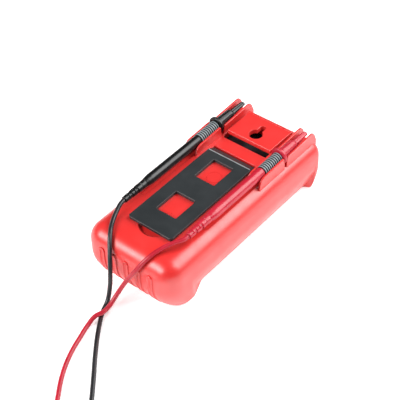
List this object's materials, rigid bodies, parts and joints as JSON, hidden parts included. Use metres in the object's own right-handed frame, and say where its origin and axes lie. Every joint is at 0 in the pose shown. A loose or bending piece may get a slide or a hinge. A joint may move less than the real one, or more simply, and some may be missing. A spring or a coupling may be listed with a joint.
{
  "type": "digital multimeter",
  "caption": "Handheld digital multimeter lying on its face in a rubber holster, with a folding tilt stand, a keyhole hanger and two test probes clipped to its back.",
  "frame": {"origin": "on the surface that the holster's front rim rests on, under the middle of the holster", "axes": "+Z out of the meter's back, +Y towards the hanger and display end, +X towards the side of the red probe"},
  "size_m": [0.1726, 0.4165, 0.0655],
  "materials": {
    "red_rubber": "satin moulded thermoplastic rubber",
    "charcoal_plastic": "fine-textured moulded ABS",
    "steel": "plain drawn steel",
    "black_plastic": "spark-eroded moulded ABS",
    "battery_can": "printed steel can",
    "board_green": "solder-masked glass epoxy board",
    "clear_window": "clear acrylic",
    "grey_plastic": "moulded ABS",
    "lcd_panel": "liquid crystal panel",
    "grey_rubber": "silicone rubber",
    "fuse_glass": "glass tube with plated caps",
    "fuse_ceramic": "ceramic tube with plated caps",
    "brass": "plated brass",
    "jack_red": "moulded polyamide",
    "jack_black": "moulded polyamide",
    "knob_charcoal": "moulded ABS",
    "button_yellow": "moulded ABS",
    "button_grey": "moulded ABS",
    "black_vinyl": "glossy moulded vinyl",
    "red_vinyl": "glossy moulded vinyl",
    "grip_rubber": "ribbed soft grip",
    "needle_steel": "polished plated steel"
  },
  "bodies": {
    "body": {"holster": "red_rubber", "hinge_pin": "steel", "front_case": "black_plastic", "rear_case": "black_plastic", "case_screw_1": "steel", "case_screw_2": "steel", "case_screw_3": "steel", "case_screw_4": "steel", "battery_door": "black_plastic", "battery_door_screw": "steel", "battery": "battery_can", "battery_snap": "black_plastic", "main_board": "board_green", "display_window": "clear_window", "lcd_frame": "grey_plastic", "lcd_glass": "lcd_panel", "zebra_strip_1": "grey_rubber", "zebra_strip_2": "grey_rubber", "button_mat": "grey_rubber", "main_chip": "black_plastic", "buzzer": "black_plastic", "fuse_small": "fuse_glass", "fuse_clip_small_1": "brass", "fuse_clip_small_2": "brass", "fuse_large": "fuse_ceramic", "fuse_clip_large_1": "brass", "fuse_clip_large_2": "brass", "current_shunt": "brass", "input_jack_high_current": "jack_red", "input_jack_low_current": "jack_red", "input_jack_common": "jack_black", "input_jack_volt_ohm": "jack_red", "probe_handle_black": "black_vinyl", "probe_grip_black": "grip_rubber", "strain_relief_black": "black_vinyl", "probe_needle_black": "needle_steel", "probe_handle_red": "red_vinyl", "probe_grip_red": "grip_rubber", "strain_relief_red": "red_vinyl", "probe_needle_red": "needle_steel", "lead_black": "black_vinyl", "lead_coil_black": "black_vinyl", "plug_black": "black_vinyl", "plug_pin_black": "brass", "lead_red": "red_vinyl", "lead_coil_red": "red_vinyl", "plug_red": "red_vinyl", "plug_pin_red": "brass"},
    "stand": {"tilt_stand": "charcoal_plastic"},
    "selector": {"selector_knob": "knob_charcoal", "selector_rotor": "grey_plastic", "wiper_ring": "brass"},
    "button_power": {"button_power": "button_yellow"},
    "button_hold": {"button_hold": "button_grey"},
    "button_range": {"button_range": "button_grey"},
    "button_backlight": {"button_backlight": "button_grey"},
    "tip_cap_black": {"tip_cap_black": "black_vinyl"},
    "tip_cap_red": {"tip_cap_red": "red_vinyl"}
  },
  "joints": [
    {"name": "stand_hinge", "type": "hinge", "parent": "body", "child": "stand", "pos_m": [0, 0.0387, 0.0484], "axis": [-1, 0, 0], "range_deg": [0, 62]},
    {"name": "selector_turn", "type": "hinge", "parent": "body", "child": "selector", "pos_m": [0, -0.01, 0.006], "axis": [0, 0, -1], "range_deg": [-135, 135]},
    {"name": "button_power_press", "type": "slide", "parent": "body", "child": "button_power", "axis": [0, 0, 1], "range_m": [0, 0.001], "stiffness_N_per_m": 900},
    {"name": "button_hold_press", "type": "slide", "parent": "body", "child": "button_hold", "axis": [0, 0, 1], "range_m": [0, 0.001], "stiffness_N_per_m": 900},
    {"name": "button_range_press", "type": "slide", "parent": "body", "child": "button_range", "axis": [0, 0, 1], "range_m": [0, 0.001], "stiffness_N_per_m": 900},
    {"name": "button_backlight_press", "type": "slide", "parent": "body", "child": "button_backlight", "axis": [0, 0, 1], "range_m": [0, 0.001], "stiffness_N_per_m": 900},
    {"name": "tip_cap_black_pull", "type": "slide", "parent": "body", "child": "tip_cap_black", "axis": [0, 1, 0], "range_m": [0, 0.03]},
    {"name": "tip_cap_red_pull", "type": "slide", "parent": "body", "child": "tip_cap_red", "axis": [0, 1, 0], "range_m": [0, 0.03]}
  ]
}
